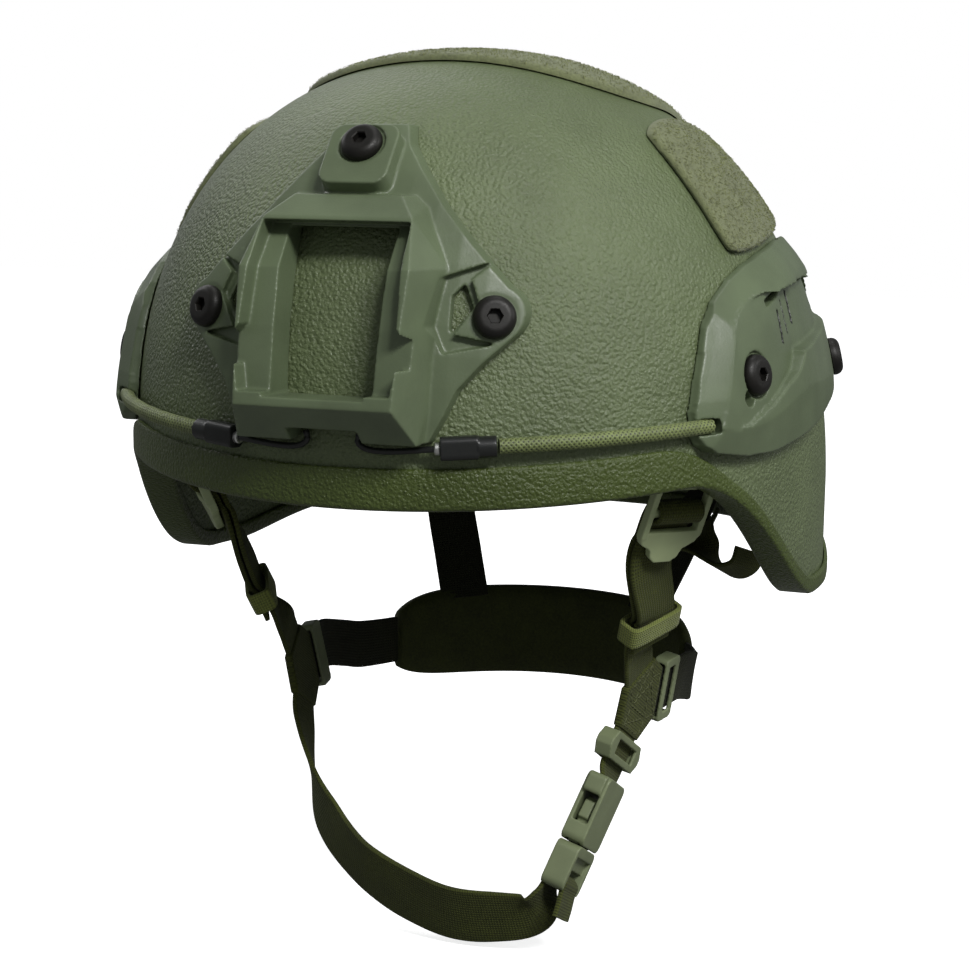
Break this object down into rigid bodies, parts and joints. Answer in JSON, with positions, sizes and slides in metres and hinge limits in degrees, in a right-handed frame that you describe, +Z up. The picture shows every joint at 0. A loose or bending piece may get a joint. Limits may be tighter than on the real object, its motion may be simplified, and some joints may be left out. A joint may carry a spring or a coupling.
{
  "type": "combat helmet",
  "caption": "Hard shell helmet with a front shroud, side rails, bungees, loop panels, comfort pads and a strap harness with a side release buckle.",
  "frame": {"origin": "in the head opening, on the middle plane, level with the bottom of the brow edge", "axes": "+Z up out of the crown, -Y to the front of the helmet, +X to the wearer's left"},
  "size_m": [0.2582, 0.3036, 0.3228],
  "materials": {
    "shell_paint": "matt, sand textured",
    "trim_rubber": "matt, textured",
    "moulded_plastic": "matt",
    "black_steel": "satin black",
    "zinc_steel": "zinc plated",
    "loop_fabric": "brushed loop pile",
    "hook_fabric": "hook tape",
    "pad_fabric": "brushed",
    "cord_fabric": "braided",
    "black_plastic": "moulded",
    "buckle_plastic": "moulded",
    "webbing": "woven"
  },
  "bodies": {
    "helmet": {"shell": "shell_paint", "edge_trim": "trim_rubber", "shroud": "moulded_plastic", "shroud_screws": "black_steel", "shroud_nuts": "zinc_steel", "left_rail": "moulded_plastic", "right_rail": "moulded_plastic", "rail_screws": "black_steel", "rail_nuts": "zinc_steel", "rear_screws": "black_steel", "rear_nuts": "zinc_steel", "anchor_plates": "zinc_steel", "crown_panel": "loop_fabric", "left_panel": "loop_fabric", "right_panel": "loop_fabric", "rear_panel": "loop_fabric", "hook_discs": "hook_fabric", "crown_pad": "pad_fabric", "front_pad": "pad_fabric", "rear_pad": "pad_fabric", "left_front_pad": "pad_fabric", "left_rear_pad": "pad_fabric", "right_front_pad": "pad_fabric", "right_rear_pad": "pad_fabric", "left_anchor_strap": "webbing", "right_anchor_strap": "webbing", "left_front_strap": "webbing", "right_front_strap": "webbing", "left_rear_strap": "webbing", "right_rear_strap": "webbing", "left_rear_tail": "webbing", "nape_pad": "pad_fabric", "left_nape_strap": "webbing", "right_nape_strap": "webbing", "left_junction": "webbing", "right_junction": "webbing", "buckle_strap": "webbing", "buckle_socket": "buckle_plastic", "left_cord": "cord_fabric", "right_cord": "cord_fabric"},
    "chin": {"buckle_plug": "buckle_plastic", "chin_strap": "webbing"},
    "front_arm": {"front_spring_arm": "buckle_plastic"},
    "rear_arm": {"rear_spring_arm": "buckle_plastic"},
    "lock": {"strap_lock": "buckle_plastic"},
    "left_adjuster": {"left_adjuster": "buckle_plastic"},
    "right_adjuster": {"right_adjuster": "buckle_plastic"},
    "left_keeper": {"left_keeper": "webbing"},
    "right_keeper": {"right_keeper": "webbing"},
    "left_slider": {"left_slider": "buckle_plastic"},
    "right_slider": {"right_slider": "buckle_plastic"},
    "left_hook": {"left_connector": "black_plastic"},
    "right_hook": {"right_connector": "black_plastic"}
  },
  "joints": [
    {"name": "buckle_release", "type": "slide", "parent": "helmet", "child": "chin", "axis": [-0.2854, -0.3873, -0.8766], "range_m": [0, 0.028]},
    {"name": "front_arm_press", "type": "hinge", "parent": "chin", "child": "front_arm", "pos_m": [0.05383, -0.04848, -0.12707], "axis": [-0.9555, 0.0444, 0.2915], "range_deg": [0, 8], "stiffness_Nm_per_rad": 0.15},
    {"name": "rear_arm_press", "type": "hinge", "parent": "chin", "child": "rear_arm", "pos_m": [0.05265, -0.03375, -0.13319], "axis": [0.9555, -0.0444, -0.2915], "range_deg": [0, 8], "stiffness_Nm_per_rad": 0.15},
    {"name": "left_adjuster_tilt", "type": "hinge", "parent": "helmet", "child": "left_adjuster", "pos_m": [0.0915, -0.06, -0.004], "axis": [-0.5707, -0.8211, 0.009], "range_deg": [0, 25]},
    {"name": "right_adjuster_tilt", "type": "hinge", "parent": "helmet", "child": "right_adjuster", "pos_m": [-0.0915, -0.06, -0.004], "axis": [-0.5707, 0.8211, -0.009], "range_deg": [0, 25]},
    {"name": "strap_lock_slide", "type": "slide", "parent": "helmet", "child": "lock", "axis": [-0.2473, -0.4161, -0.875], "range_m": [0, 0.003]},
    {"name": "left_keeper_slide", "type": "slide", "parent": "helmet", "child": "left_keeper", "axis": [-0.2592, 0.4319, -0.8639], "range_m": [-0.003, 0.003]},
    {"name": "left_slider_slide", "type": "slide", "parent": "helmet", "child": "left_slider", "axis": [0.1719, 0.981, 0.0896], "range_m": [0, 0.009]},
    {"name": "right_keeper_slide", "type": "slide", "parent": "helmet", "child": "right_keeper", "axis": [0.2592, 0.4319, -0.8639], "range_m": [-0.003, 0.003]},
    {"name": "right_slider_slide", "type": "slide", "parent": "helmet", "child": "right_slider", "axis": [-0.1719, 0.981, 0.0896], "range_m": [0, 0.009]},
    {"name": "left_hook_swing", "type": "hinge", "parent": "helmet", "child": "left_hook", "pos_m": [0.05391, -0.13637, 0.02276], "axis": [-0.0577, -0.0346, 0.9977], "range_deg": [0, 12]},
    {"name": "right_hook_swing", "type": "hinge", "parent": "helmet", "child": "right_hook", "pos_m": [-0.05391, -0.13637, 0.02276], "axis": [-0.0577, 0.0346, -0.9977], "range_deg": [0, 12]}
  ]
}
